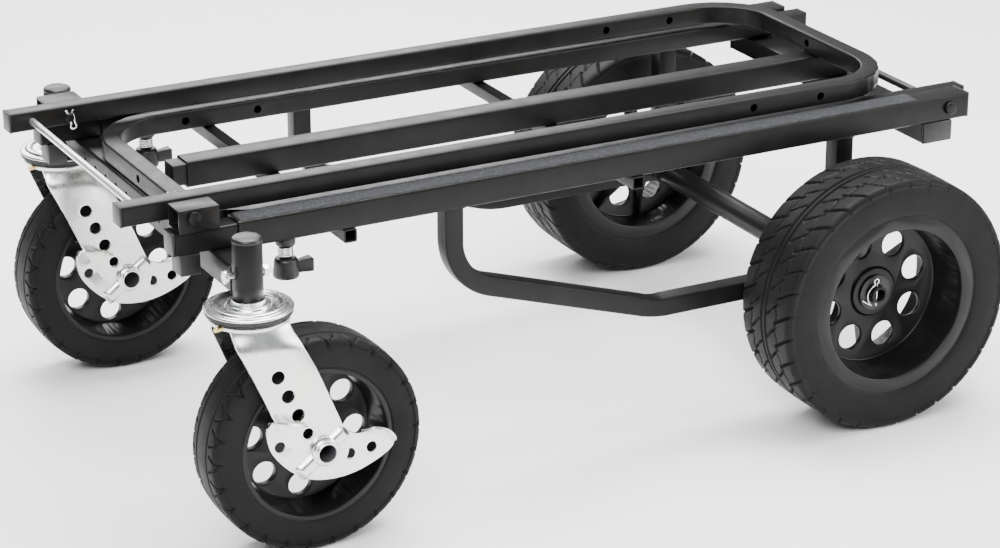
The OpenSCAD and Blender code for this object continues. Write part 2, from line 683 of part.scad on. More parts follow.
module rear_bush(side) {
    rear_wheel_place(side) translate([0, 0, -wheel_w / 2 + 1]) difference() {
        cylinder(r = bush_r, h = wheel_w / 2);
        translate([0, 0, -1]) cylinder(d = stub_d + 2 * run_gap, h = wheel_w);
    }
}
module left_rear_bush() { color("silver") rear_bush(-1); }
module right_rear_bush() { color("silver") rear_bush(1); }

// ----------------------------------------------------------------- lock knobs
module lock_knob() {
    translate([knob_x, 0, rail_bottom - collar_h - knob_gap - knob_h]) {
        cylinder(d = knob_d, h = knob_h);
        translate([0, -4, 3]) cube([knob_d / 2 + 13, 8, 12]);
        cylinder(d = screw_d, h = screw_reach);
    }
}
module left_lock_knob() { color("black") left_side() lock_knob(); }
module right_lock_knob() { color("black") right_side() lock_knob(); }

left_outer_rail();
right_outer_rail();
center_outer_tube();
front_cross_tube();
middle_cross_tube();
rear_cross_tube();
left_brace_tube();
right_brace_tube();
rear_posts();
rear_axle();
grip_tapes();
rail_end_plugs();
axle_washers();
axle_clips();
lock_collars();
lock_springs();
rear_pivot_rod();
center_tube_insert();
left_inner_rail();
right_inner_rail();
caster_cross_tube();
caster_sockets();
socket_caps();
handle_brackets();
nose_blocks();
inner_rail_caps();
handle_pivot_pins();
pivot_pin_clips();
left_caster_stem();
right_caster_stem();
stem_lock_pins();
front_handle_tube();
front_handle_rod();
front_handle_caps();
rear_handle_tube();
rear_handle_caps();
left_caster_fork();
right_caster_fork();
left_swivel_seal();
right_swivel_seal();
left_grease_fitting();
right_grease_fitting();
left_caster_axle();
right_caster_axle();
left_caster_rim();
right_caster_rim();
left_caster_tyre();
right_caster_tyre();
left_caster_bush();
right_caster_bush();
left_brake_rocker();
right_brake_rocker();
left_rear_rim();
right_rear_rim();
left_rear_tyre();
right_rear_tyre();
left_rear_bush();
right_rear_bush();
left_lock_knob();
right_lock_knob();
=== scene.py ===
import bpy
import bmesh
import json
import math
import random
import numpy as np
from mathutils import Matrix, Vector, noise


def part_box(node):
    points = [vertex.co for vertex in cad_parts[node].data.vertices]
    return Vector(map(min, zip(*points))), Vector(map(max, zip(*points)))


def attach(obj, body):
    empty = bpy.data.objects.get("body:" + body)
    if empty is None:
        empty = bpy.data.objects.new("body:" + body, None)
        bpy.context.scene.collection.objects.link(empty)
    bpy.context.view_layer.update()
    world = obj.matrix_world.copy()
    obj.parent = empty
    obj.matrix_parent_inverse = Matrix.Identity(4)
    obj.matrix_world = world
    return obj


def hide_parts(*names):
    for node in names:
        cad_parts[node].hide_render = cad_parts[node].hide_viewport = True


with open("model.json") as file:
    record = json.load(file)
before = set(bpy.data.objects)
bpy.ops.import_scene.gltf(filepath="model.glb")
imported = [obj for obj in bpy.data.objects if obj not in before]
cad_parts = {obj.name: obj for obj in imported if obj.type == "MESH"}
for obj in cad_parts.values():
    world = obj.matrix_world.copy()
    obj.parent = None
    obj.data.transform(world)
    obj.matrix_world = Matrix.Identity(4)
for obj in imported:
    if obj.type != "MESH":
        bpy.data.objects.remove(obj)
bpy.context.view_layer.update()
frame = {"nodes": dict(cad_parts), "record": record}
MM = 0.001
TAU = 2 * math.pi
SIDES = (("left", -1), ("right", 1))


# ------------------------------------------------------------------ materials
def ramp(nodes, links, fac, stops):
    """A colour ramp node fed by fac, with (position, rgb) stops."""
    node = nodes.new("ShaderNodeValToRGB")
    elements = node.color_ramp.elements
    while len(elements) < len(stops):
        elements.new(0.5)
    for element, (pos, rgb) in zip(elements, stops):
        element.position = pos
        element.color = (*rgb, 1)
    links.new(fac, node.inputs["Fac"])
    return node.outputs["Color"]


def noise_node(nodes, links, coord, scale, detail=4.0, rough=0.55):
    node = nodes.new("ShaderNodeTexNoise")
    node.inputs["Scale"].default_value = scale
    node.inputs["Detail"].default_value = detail
    node.inputs["Roughness"].default_value = rough
    links.new(coord, node.inputs["Vector"])
    return node.outputs["Fac"]


def shade(value, factor):
    return tuple(min(1.0, v * factor) for v in value)


def make_material(name, base, metallic=0.0, rough=(0.4, 0.5), tone=0.15, tone_scale=30,
                  grain=900, bump=0.05, bump_mm=0.2, tint=None, sparkle=None, specular=0.5,
                  dust=None):
    """A procedural surface: mottled colour, uneven gloss and a fine relief; with sparkle, painted
    glints on scattered grains.
    """
    mat = bpy.data.materials.new(name)
    mat.use_nodes = True
    nodes, links = mat.node_tree.nodes, mat.node_tree.links
    bsdf = nodes["Principled BSDF"]
    bsdf.inputs["Metallic"].default_value = metallic
    bsdf.inputs["Specular IOR Level"].default_value = specular
    coord = nodes.new("ShaderNodeTexCoord").outputs["Object"]
    patches = noise_node(nodes, links, coord, tone_scale, 5.0, 0.6)
    other = tint or shade(base, 1 + tone)
    color = ramp(nodes, links, patches, [(0.3, shade(base, 1 - tone)), (0.5, base), (0.72, other)])
    if dust:
        cloud = noise_node(nodes, links, coord, 11, 6.0, 0.7)
        mask = ramp(nodes, links, cloud, [(0.46, (0, 0, 0)), (0.78, (1, 1, 1))])
        mix = nodes.new("ShaderNodeMix")
        mix.data_type = "RGBA"
        links.new(mask, mix.inputs["Factor"])
        links.new(color, mix.inputs["A"])
        mix.inputs["B"].default_value = (*dust, 1)
        color = mix.outputs["Result"]
    fine = noise_node(nodes, links, coord, grain, 2.0, 0.5)
    relief = fine
    # sparkle paints glints: scattered grain cells are mixed toward a bright bluish colour as a
    # painted highlight, and the cells also drive the bump
    if sparkle:
        cells = nodes.new("ShaderNodeTexVoronoi")
        cells.inputs["Scale"].default_value = sparkle
        links.new(coord, cells.inputs["Vector"])
        dots = ramp(nodes, links, cells.outputs["Distance"],
                    [(0.0, (1, 1, 1)), (0.42, (0, 0, 0))])
        pick = ramp(nodes, links, noise_node(nodes, links, coord, sparkle * 0.7, 2.0),
                    [(0.52, (0, 0, 0)), (0.6, (1, 1, 1))])
        both = nodes.new("ShaderNodeMix")
        both.data_type = "RGBA"
        both.blend_type = "MULTIPLY"
        both.inputs["Factor"].default_value = 1.0
        links.new(dots, both.inputs["A"])
        links.new(pick, both.inputs["B"])
        lit = nodes.new("ShaderNodeMix")
        lit.data_type = "RGBA"
        links.new(both.outputs["Result"], lit.inputs["Factor"])
        links.new(color, lit.inputs["A"])
        # the painted glint colour of the lit grains
        lit.inputs["B"].default_value = (0.17, 0.19, 0.25, 1)
        color = lit.outputs["Result"]
        relief = cells.outputs["Distance"]
    links.new(color, bsdf.inputs["Base Color"])
    gloss = nodes.new("ShaderNodeMapRange")
    gloss.inputs["To Min"].default_value = rough[0]
    gloss.inputs["To Max"].default_value = rough[1]
    gloss.inputs["From Min"].default_value = 0.3
    gloss.inputs["From Max"].default_value = 0.7
    links.new(noise_node(nodes, links, coord, tone_scale * 2.3, 4.0, 0.6), gloss.inputs["Value"])
    links.new(gloss.outputs["Result"], bsdf.inputs["Roughness"])
    node = nodes.new("ShaderNodeBump")
    node.inputs["Strength"].default_value = bump
    node.inputs["Distance"].default_value = bump_mm * MM
    links.new(relief, node.inputs["Height"])
    links.new(node.outputs["Normal"], bsdf.inputs["Normal"])
    return mat


MATS = {
    "powder_coat": make_material("powder_coat", (0.0058, 0.0055, 0.0052), rough=(0.30, 0.42),
                                 tone=0.25, tint=(0.0090, 0.0082, 0.0075), grain=1400, bump=0.25,
                                 bump_mm=0.12, tone_scale=24, specular=0.19),
    "zinc_steel": make_material("zinc_steel", (0.78, 0.80, 0.79), metallic=1.0, rough=(0.20, 0.34),
                                tone=0.09, tint=(0.84, 0.83, 0.75), tone_scale=26, grain=90,
                                bump=0.03, bump_mm=0.3),
    "bright_rod": make_material("bright_rod", (0.86, 0.87, 0.88), metallic=0.9, rough=(0.25, 0.38),
                                tone=0.06, tone_scale=60, grain=600, bump=0.06),
    "rim_plastic": make_material("rim_plastic", (0.0055, 0.0054, 0.0055), rough=(0.28, 0.38),
                                 tone=0.18, tone_scale=18, grain=1100, bump=0.12, bump_mm=0.1,
                                 specular=0.24),
    "tyre_rubber": make_material("tyre_rubber", (0.0058, 0.0055, 0.0056), rough=(0.46, 0.6),
                                 tone=0.18, tone_scale=22, grain=800, bump=0.22, bump_mm=0.15,
                                 dust=(0.0085, 0.0080, 0.0078), specular=0.13),
    "black_plastic": make_material("black_plastic", (0.0050, 0.0049, 0.0050), rough=(0.36, 0.5),
                                   tone=0.2, tone_scale=40, grain=1300, bump=0.15, bump_mm=0.1),
    # grip tape: the bright bluish specks on some grains are painted glints
    "grip_tape": make_material("grip_tape", (0.009, 0.0095, 0.0115), rough=(0.75, 0.95), tone=0.3,
                               tone_scale=240, sparkle=900, bump=0.9, bump_mm=0.4),
    "bush_plastic": make_material("bush_plastic", (0.05, 0.05, 0.055), rough=(0.35, 0.5), tone=0.15,
                                  tone_scale=60, grain=900, bump=0.1),
    "brass_fitting": make_material("brass_fitting", (0.78, 0.60, 0.25), metallic=1.0,
                                   rough=(0.22, 0.35), tone=0.12, tone_scale=120, bump=0.08),
    "seal_rubber": make_material("seal_rubber", (0.014, 0.014, 0.015), rough=(0.45, 0.6), tone=0.2,
                                 tone_scale=60, grain=700, bump=0.1),
}
SLOT_OF = {s["node"]: s["material_slot"] for s in frame["record"]["subparts"]}
BODY_OF = {n: b for b, ns in frame["record"]["behaviour"]["bodies"].items() for n in ns}


# ------------------------------------------------------------------- geometry
def finish_piece(obj, slot, body, replaces=(), angle=38):
    mesh = obj.data
    mesh.materials.clear()
    mesh.materials.append(MATS[slot])
    mesh.polygons.foreach_set("use_smooth", [True] * len(mesh.polygons))
    mesh.set_sharp_from_angle(angle=math.radians(angle))
    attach(obj, body)
    if replaces:
        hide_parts(*replaces)
    return obj


def new_object(name, mesh):
    obj = bpy.data.objects.new(name, mesh)
    bpy.context.scene.collection.objects.link(obj)
    return obj


def mesh_from(name, verts, faces):
    mesh = bpy.data.meshes.new(name)
    mesh.from_pydata([tuple(v) for v in verts], [], faces)
    bm = bmesh.new()
    bm.from_mesh(mesh)
    bmesh.ops.remove_doubles(bm, verts=bm.verts, dist=1e-6)
    bmesh.ops.recalc_face_normals(bm, faces=bm.faces)
    bm.to_mesh(mesh)
    bm.free()
    return mesh


def applied(obj):
    """Bakes an object's modifiers into its mesh."""
    depsgraph = bpy.context.evaluated_depsgraph_get()
    mesh = bpy.data.meshes.new_from_object(obj.evaluated_get(depsgraph))
    old = obj.data
    obj.modifiers.clear()
    obj.data = mesh
    bpy.data.meshes.remove(old)
    return obj


def bevel(obj, width, segments=2, angle=35):
    mod = obj.modifiers.new("edge", "BEVEL")
    mod.width = width
    mod.segments = segments
    mod.limit_method = "ANGLE"
    mod.angle_limit = math.radians(angle)
    mod.use_clamp_overlap = True
    return applied(obj)


def soften(node, width):
    """A CAD node's shape with rounded edges, standing for the node."""
    source = frame["nodes"][node].data
    bm = bmesh.new()
    bm.from_mesh(source)
    bmesh.ops.remove_doubles(bm, verts=bm.verts, dist=2e-6)
    bmesh.ops.dissolve_limit(bm, angle_limit=math.radians(0.6), verts=bm.verts, edges=bm.edges)
    mesh = bpy.data.meshes.new(node + "_look")
    bm.to_mesh(mesh)
    bm.free()
    obj = new_object(node + "_look", mesh)
    bevel(obj, width)
    return finish_piece(obj, SLOT_OF[node], BODY_OF[node], (node,))


def rounded_square(half, radius, steps=4, half_z=None):
    """A closed loop of points round a square section with rounded corners."""
    half_z = half_z or half
    points = []
    for corner, (sx, sz) in enumerate(((1, 1), (-1, 1), (-1, -1), (1, -1))):
        for i in range(steps + 1):
            a = math.pi / 2 * (corner + i / steps)
            points.append((sx * (half - radius) + radius * math.cos(a),
                           sz * (half_z - radius) + radius * math.sin(a)))
    return points


def sweep(rings, closed_ends=True):
    """Joins rings of points into a skin. Returns vertices and faces."""
    count = len(rings[0])
    verts = [p for ring in rings for p in ring]
    faces = []
    total = len(rings)
    for i in range(total - 1):
        a, b = i * count, (i + 1) * count
        faces += [(a + j, a + (j + 1) % count, b + (j + 1) % count, b + j) for j in range(count)]
    if closed_ends:
        faces.append(tuple(range(count)))
        faces.append(tuple(range((total - 1) * count, total * count)))
    return verts, faces


def tube_rings(centers, tangents, ups, half, radius, steps=4, warp=None, half_z=None):
    section = rounded_square(half, radius, steps, half_z)
    rings = []
    for i, (c, t, u) in enumerate(zip(centers, tangents, ups)):
        side = t.cross(u).normalized()
        ring = []
        for (a, b) in section:
            da, db = warp(i, a, b) if warp else (a, b)
            ring.append(c + side * da + u * db)
        rings.append(ring)
    return rings


def square_tube(name, centers, tangents, ups, half, radius, wall, warp=None, half_z=None):
    """A rounded square tube along a path, hollow and open at both ends."""
    outer = tube_rings(centers, tangents, ups, half, radius, 4, warp, half_z)
    verts, faces = sweep(outer, closed_ends=False)
    inner_z = (half_z or half) - wall
    inner = tube_rings(centers, tangents, ups, half - wall, max(radius - wall, 0.2 * MM), 4,
                       None, inner_z)
    inner_verts, inner_faces = sweep(inner, closed_ends=False)
    base = len(verts)
    verts = verts + inner_verts
    faces += [tuple(base + k for k in f) for f in inner_faces]
    count = len(outer[0])
    for ring in (0, len(outer) - 1):
        o, n = ring * count, base + ring * count
        faces += [(o + j, o + (j + 1) % count, n + (j + 1) % count, n + j) for j in range(count)]
    return new_object(name, mesh_from(name, verts, faces))


def straight_tube(node, axis, half, radius, wall, half_z=None, cutters=None):
    """A straight rounded tube that takes its place from the CAD node's box."""
    lo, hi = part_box(node)
    lo, hi = Vector(lo), Vector(hi)
    mid = (lo + hi) / 2
    start, end = mid.copy(), mid.copy()
    start[axis], end[axis] = lo[axis], hi[axis]
    t = Vector((0, 0, 0))
    t[axis] = 1
    up = Vector((0, 0, 1)) if axis != 2 else Vector((1, 0, 0))
    steps = 6
    centers = [start.lerp(end, i / steps) for i in range(steps + 1)]
    count = len(centers)
    obj = square_tube(node + "_look", centers, [t] * count, [up] * count, half, radius, wall, None,
                      half_z)
    if cutters:
        cut(obj, cutters)
    return finish_piece(obj, SLOT_OF[node], BODY_OF[node], (node,))


def cylinder_mesh(p0, p1, radius, segments=40):
    p0, p1 = Vector(p0), Vector(p1)
    t = (p1 - p0).normalized()
    u = t.orthogonal().normalized()
    v = t.cross(u)
    rings = [[c + (u * math.cos(TAU * k / segments) + v * math.sin(TAU * k / segments)) * radius
              for k in range(segments)] for c in (p0, p1)]
    return sweep(rings)


def cut(obj, cylinders):
    """Bores round holes: cylinders is a list of (start, end, radius)."""
    verts, faces = [], []
    for p0, p1, r in cylinders:
        v, f = cylinder_mesh(p0, p1, r, 36)
        base = len(verts)
        verts += v
        faces += [tuple(base + k for k in face) for face in f]
    cutter = new_object("cutter", mesh_from("cutter", verts, faces))
    mod = obj.modifiers.new("bore", "BOOLEAN")
    mod.operation = "DIFFERENCE"
    mod.solver = "EXACT"
    mod.object = cutter
    bpy.context.view_layer.update()
    applied(obj)
    bpy.data.objects.remove(cutter)
    return obj


def wire(name, points, radius, slot, body, replaces=(), segments=12):
    """A round wire along a list of points."""
    pts = [Vector(p) for p in points]
    n = len(pts)
    rings, normal = [], None
    for i, p in enumerate(pts):
        t = (pts[min(i + 1, n - 1)] - pts[max(i - 1, 0)]).normalized()
        normal = t.orthogonal() if normal is None else normal - t * normal.dot(t)
        normal.normalize()
        side = t.cross(normal)
        angles = [TAU * k / segments for k in range(segments)]
        rings.append([p + (normal * math.cos(a) + side * math.sin(a)) * radius for a in angles])
    verts, faces = sweep(rings)
    obj = new_object(name, mesh_from(name, verts, faces))
    return finish_piece(obj, slot, body, replaces, 60)


def lathe_mesh(name, profile, place, segments=128, bump=None):
    """Turns (radius, height) points about an axis; place maps (r, h, angle) to a point."""
    rings = []
    for k in range(segments):
        a = TAU * k / segments
        rings.append([place(*(bump(r, h, a) if bump else (r, h)), a) for r, h in profile])
    count = len(profile)
    verts = [p for ring in rings for p in ring]
    faces = []
    for k in range(segments):
        a, b = k * count, ((k + 1) % segments) * count
        for j in range(count - 1):
            faces.append((a + j, b + j, b + j + 1, a + j + 1))
    return mesh_from(name, verts, faces)


def about_y(center, side=1):
    """Places wheel points: h runs along side * Y from the centre."""
    def place(r, h, a):
        return Vector((center.x + r * math.cos(a), center.y + side * h, center.z + r * math.sin(a)))
    return place


def about_z(center):
    def place(r, h, a):
        return Vector((center.x + r * math.cos(a), center.y + r * math.sin(a), center.z + h))
    return place


def smoothstep(e0, e1, x):
    t = min(1.0, max(0.0, (x - e0) / (e1 - e0)))
    return t * t * (3 - 2 * t)


def mid_of(node):
    lo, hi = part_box(node)
    return (Vector(lo) + Vector(hi)) / 2


# ---------------------------------------------------------------------- tyres
def groove(distance, width, depth, slope=0.35 * MM):
    """Depth of a groove with slightly sloped walls at this distance from its middle."""
    return depth * (1 - smoothstep(width * 0.5 - slope, width * 0.5 + slope, abs(distance)))


def wrap(x, period):
    return (x + period / 2) % period - period / 2


def tyre_profile(bead_r, radius, half, shoulder, crown, side_n, tread_n):
    """(radius, height) points from the inner bead over the tread to the outer bead."""
    points = [(bead_r - 1.0 * MM, -half + 3 * MM), (bead_r + 0.6 * MM, -half + 1.2 * MM)]
    inner = bead_r + 2 * MM
    wall = [inner + (radius - shoulder - inner) * i / side_n for i in range(side_n)]
    bulge = [half - 0.2 * MM - 0.7 * MM * (1 - math.sin(math.pi * i / side_n))
             for i in range(side_n)]
    points += [(r, -h) for r, h in zip(wall, bulge)]
    turns = [math.pi / 2 * i / 9 for i in range(9)]
    points += [(radius - crown - shoulder * (1 - math.sin(t)), -half + shoulder * (1 - math.cos(t)))
               for t in turns]
    flat = half - shoulder
    tread = [-flat + 2 * flat * i / tread_n for i in range(tread_n + 1)]
    points += [(radius - crown * (y / flat) ** 2, y) for y in tread]
    points += [(r, -h) for r, h in points[:2 + side_n + 9][::-1]]
    return points


def build_tyre(name, node, side, rear):
    """A tyre lathed from its profile, with the tread grooves pressed in by relief()."""
    center = mid_of(node)
    lo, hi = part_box(node)
    radius, half = (hi[0] - lo[0]) / 2, (hi[1] - lo[1]) / 2
    if rear:
        bead, shoulder, crown, segs, tread_n = 91 * MM, 6 * MM, 0.8 * MM, 720, 54
        pitch = math.radians(360 / 33)

        def relief(r, h, a):
            y = abs(h)
            arc_len = a * radius
            p = pitch * radius
            depth = groove(y - 3.3 * MM, 1.8 * MM, 2.4 * MM)
            flip = 1 if h > 0 else -1
            if 5 * MM < y < 23 * MM:
                line = wrap(arc_len + flip * 0.95 * (y - 14 * MM), p)
                depth = max(depth, groove(line, 1.9 * MM, 2.2 * MM) * smoothstep(5 * MM, 7 * MM, y))
            if y > 18 * MM and r > radius - 15 * MM:
                line = wrap(arc_len + p / 2 + flip * (0.62 * (y - 21 * MM)), p)
                fade = smoothstep(radius - 15 * MM, radius - 11 * MM, r)
                depth = max(depth, groove(line, 2.6 * MM, 2.4 * MM) * fade)
            zig = 21 * MM + 1.6 * MM * math.sin(TAU * arc_len / p)
            depth = max(depth, groove(y - zig, 1.3 * MM, 1.4 * MM))
            bead_ring = 0.5 * MM * math.exp(-((r - bead - 1.5 * MM) / (1.2 * MM)) ** 2)
            if y > half - 5 * MM and r < radius - 12 * MM:
                return r, h - math.copysign(bead_ring, h)
            return r - depth, h
    else:
        bead, shoulder, crown, segs, tread_n = 73 * MM, 6 * MM, 0.8 * MM, 780, 60
        pitch = math.radians(360 / 26)

        def relief(r, h, a):
            y = abs(h)
            arc_len = a * radius
            p = pitch * radius
            along = y + (radius - r)
            line = wrap(arc_len + (p / 2 if h > 0 else 0), p)
            side_share = smoothstep(half - 6 * MM, half - 1 * MM, y)
            depth = groove(y - 10.5 * MM, 1.7 * MM, 1.5 * MM, 0.5 * MM)
            s0, s1 = 14.5 * MM, 34 * MM
            if s0 < along < s1 + 1.5 * MM:
                reach = max(0, (s1 - along) / (s1 - s0)) * 8.5 * MM
                edge = groove(abs(line) - reach, 1.8 * MM, 1.5 * MM, 0.5 * MM)
                depth = max(depth, edge * smoothstep(s0, s0 + 1.2 * MM, along))
            return r - depth * (1 - side_share), h - math.copysign(depth * side_share, h)

    profile = tyre_profile(bead, radius, half, shoulder, crown, 14 if rear else 16, tread_n)
    mesh = lathe_mesh(name, profile, about_y(center, side), segs, relief)
    obj = new_object(name, mesh)
    return finish_piece(obj, "tyre_rubber", BODY_OF[node], (node,), 50)


# ------------------------------------------------------------- square tubes
CROSS_BORE_PITCH = 26.7 * MM


def rails_and_frame():
    """Rails, centre tube and cross tubes, each a straight tube with round corners."""
    rail_lo, rail_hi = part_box("left_outer_rail")
    size = rail_hi[1] - rail_lo[1]
    half = size / 2
    for name, _ in SIDES:
        straight_tube(name + "_outer_rail", 0, half, 2.6 * MM, 2 * MM)
        lo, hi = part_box(name + "_inner_rail")
        straight_tube(name + "_inner_rail", 0, (hi[1] - lo[1]) / 2, 2.0 * MM, 2 * MM)
    straight_tube("center_outer_tube", 0, half, 2.6 * MM, 2 * MM)
    straight_tube("front_cross_tube", 1, 6.35 * MM, 1.6 * MM, 1.5 * MM)
    straight_tube("middle_cross_tube", 1, 6.35 * MM, 1.6 * MM, 1.5 * MM)
    lo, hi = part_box("rear_cross_tube")
    straight_tube("rear_cross_tube", 1, (hi[0] - lo[0]) / 2, 2.2 * MM, 2 * MM,
                  half_z=(hi[2] - lo[2]) / 2)
    lo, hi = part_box("caster_cross_tube")
    mid = mid_of("caster_cross_tube")
    spots = [i * CROSS_BORE_PITCH for i in range(-5, 6)]
    holes = [((lo[0] - 5 * MM, y, mid.z), (mid.x, y, mid.z), 2.5 * MM) for y in spots]
    straight_tube("caster_cross_tube", 1, (hi[0] - lo[0]) / 2, 2.6 * MM, 2 * MM, cutters=holes)


def path_of(points_2d, radii, bend_steps):
    """Straight runs joined by round bends in a plane, as (point, tangent, bend mark) items."""
    pts = [Vector(p) for p in points_2d]
    out = []
    prev = pts[0]
    for i in range(1, len(pts) - 1):
        d0 = (pts[i] - pts[i - 1]).normalized()
        d1 = (pts[i + 1] - pts[i]).normalized()
        turn = math.acos(max(-1, min(1, d0.dot(d1))))
        r = radii[i - 1]
        cutback = r * math.tan(turn / 2)
        a, b = pts[i] - d0 * cutback, pts[i] + d1 * cutback
        n = max(2, int((a - prev).length / (120 * MM)))
        out += [(prev.lerp(a, k / n), d0, -1.0) for k in range(n)]
        sign = 1 if d0.x * d1.y - d0.y * d1.x > 0 else -1
        normal = Vector((-d0.y, d0.x)) * sign
        center = a + normal * r
        for k in range(bend_steps + 1):
            ang = turn * k / bend_steps
            radial = (-normal) * math.cos(ang) + d0 * math.sin(ang)
            tangent = d0 * math.cos(ang) + normal * math.sin(ang)
            out.append((center + radial * r, tangent, k / bend_steps))
        prev = b
    last = pts[-1]
    out += [(prev.lerp(last, k / 3), (last - prev).normalized(), -1.0) for k in range(4)]
    clean = [out[0]]
    for item in out[1:]:
        if (item[0] - clean[-1][0]).length > 1e-5:
            clean.append(item)
    return clean


BENT_WALL = 1.6 * MM       # of the handles and the braces
HANDLE_BEND = 63.5 * MM
HANDLE_BORES = (102 * MM, 178 * MM)   # distances of the leg holes from the cross bar's far side


def handle_tube(node, direction):
    """The U handle: legs, two bends flattened as bent thin tube is, and the cross bar."""
    lo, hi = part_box(node)
    z = (lo[2] + hi[2]) / 2
    half = (hi[2] - lo[2]) / 2
    width = hi[1] - half
    tip = lo[0] if direction > 0 else hi[0]
    far = (hi[0] - half) if direction > 0 else (lo[0] + half)
    corners = [(tip, -width), (far, -width), (far, width), (tip, width)]
    path = path_of(corners, [HANDLE_BEND] * 2, 30)
    centers = [Vector((p.x, p.y, z)) for p, _, _ in path]
    tangents = [Vector((t.x, t.y, 0)) for _, t, _ in path]
    ups = [Vector((0, 0, 1))] * len(path)
    inward = 1 if direction < 0 else -1

    def warp(i, a, b):
        mark = path[i][2]
        if mark < 0:
            return a, b
        squeeze = math.sin(math.pi * mark) ** 0.5 if mark > 0 else 0
        outer = a * inward / half
        if outer > 0.2:
            dent = 1.9 * MM * squeeze * (1 - (b / half) ** 2) * smoothstep(0.2, 0.9, outer)
            a -= inward * dent
            b *= 1 - 0.03 * squeeze
        elif outer < -0.2:
            ripple = math.cos(mark * TAU * 6)
            a += inward * (0.9 * MM + 0.7 * MM * ripple) * squeeze * (1 - 0.6 * (b / half) ** 2)
        top = abs(b) / half
        if top > 0.5:
            b -= math.copysign(0.55 * MM * squeeze * (1 - (a / half) ** 2), b)
        return a, b

    obj = square_tube(node + "_look", centers, tangents, ups, half, 2.4 * MM, BENT_WALL, warp)
    bores = []
    edge = far + direction * half
    for d in HANDLE_BORES:
        x = edge - direction * d
        for s in (-1, 1):
            bores.append(((x, s * (width - 2 * half), z), (x, s * (width + 2 * half), z), 4 * MM))
    bores.append(((far - 2 * half, 0, z), (far + 2 * half, 0, z), 4 * MM))
    cut(obj, bores)
    return finish_piece(obj, SLOT_OF[node], BODY_OF[node], (node,))


BRACE_BEND = 52 * MM
BRACE_KNEE = 70 * MM
BRACE_FLAT = 211 * MM      # the low run, from the knee past the axle
BRACE_SLOPE = math.radians(17.6)


def brace_tube(node):
    """A brace: down from the rail, round a bend, along a slope and under the axle."""
    lo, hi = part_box(node)
    y = (lo[1] + hi[1]) / 2
    half = (hi[1] - lo[1]) / 2
    post_x, low_z = lo[0] + half, lo[2] + half
    knee_x = hi[0] + 10 * MM - BRACE_FLAT
    corner_z = low_z + (knee_x - post_x) * math.tan(BRACE_SLOPE)
    path = path_of([(post_x, hi[2]), (post_x, corner_z), (knee_x, low_z), (hi[0] + 4 * MM, low_z)],
                   [BRACE_BEND, BRACE_KNEE], 20)
    centers = [Vector((p.x, y, p.y)) for p, _, _ in path]
    tangents = [Vector((t.x, 0, t.y)) for _, t, _ in path]
    ups = [Vector((0, 1, 0))] * len(path)

    def warp(i, a, b):
        mark = path[i][2]
        if mark < 0:
            return a, b
        squeeze = math.sin(math.pi * mark) ** 0.5 if mark > 0 else 0
        return a * (1 - 0.05 * squeeze), b * (1 + 0.01 * squeeze)

    obj = square_tube(node + "_look", centers, tangents, ups, half, 2.2 * MM, BENT_WALL, warp)
    return finish_piece(obj, SLOT_OF[node], BODY_OF[node], (node,))


rails_and_frame()
handle_tube("front_handle_tube", 1)
handle_tube("rear_handle_tube", -1)
for side_name, side in SIDES:
    brace_tube(side_name + "_brace_tube")
    build_tyre(side_name + "_rear_tyre_look", side_name + "_rear_tyre", side, True)
    build_tyre(side_name + "_caster_tyre_look", side_name + "_caster_tyre", 1, False)

# ------------------------------------------------------------- small parts
def spline(points, per=6, closed=False):
    """A smooth curve through the points."""
    pts = [Vector(p) for p in points]
    n = len(pts)
    out = []
    for i in range(n if closed else n - 1):
        p1, p2 = pts[i], pts[(i + 1) % n]
        p0 = pts[i - 1] if closed or i > 0 else p1 * 2 - p2
        p3 = pts[(i + 2) % n] if closed or i + 2 < n else p2 * 2 - p1
        for k in range(per):
            t = k / per
            out.append(0.5 * ((p1 * 2) + (p2 - p0) * t + (p0 * 2 - p1 * 5 + p2 * 4 - p3) * t * t
                              + (p1 * 3 - p0 - p2 * 3 + p3) * t ** 3))
    if not closed:
        out.append(pts[-1])
    return out


def join_meshes(name, meshes):
    """One mesh from several, each given as (vertices, faces) or a mesh."""
    verts, faces = [], []
    for item in meshes:
        if isinstance(item, bpy.types.Mesh):
            v = [p.co.copy() for p in item.vertices]
            f = [tuple(poly.vertices) for poly in item.polygons]
        else:
            v, f = item
        base = len(verts)
        verts += v
        faces += [tuple(base + k for k in face) for face in f]
    mesh = bpy.data.meshes.new(name)
    mesh.from_pydata([tuple(v) for v in verts], [], faces)
    return mesh


def grip_tapes():
    """Gritty tape: a fine sheet with rough grains, one strip on each rail."""
    lo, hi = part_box("grip_tapes")
    rail_lo, rail_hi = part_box("left_outer_rail")
    width = (rail_hi[1] - rail_lo[1]) - 3 * MM
    nx, ny = 520, 15
    rng = random.Random(7)
    verts, faces = [], []
    for y0 in (lo[1], hi[1] - width):
        base = len(verts)
        for i in range(nx + 1):
            for j in range(ny + 1):
                edge = i in (0, nx) or j in (0, ny)
                z = lo[2] if edge else hi[2] - 0.28 * MM * rng.random()
                jitter = 0 if edge else 0.4 * MM * (rng.random() - 0.5)
                shrink = 0.25 * MM if j == 1 else (-0.25 * MM if j == ny - 1 else 0)
                along_edge = noise.noise(Vector((i * 0.21, j * 5.0, y0 * 9)))
                wave = 0.35 * MM * along_edge if j in (0, ny) else 0
                x = lo[0] + (hi[0] - lo[0]) * i / nx + (0 if i in (0, nx) else jitter)
                y = y0 + width * j / ny - shrink * 3 + wave
                verts.append(Vector((x, y, z)))
        row = ny + 1
        faces += [(base + i * row + j, base + (i + 1) * row + j, base + (i + 1) * row + j + 1,
                   base + i * row + j + 1) for i in range(nx) for j in range(ny)]
    mesh = bpy.data.meshes.new("grip_tapes_look")
    mesh.from_pydata([tuple(v) for v in verts], [], faces)
    obj = new_object("grip_tapes_look", mesh)
    obj = finish_piece(obj, "grip_tape", BODY_OF["grip_tapes"], ("grip_tapes",), 180)
    return obj


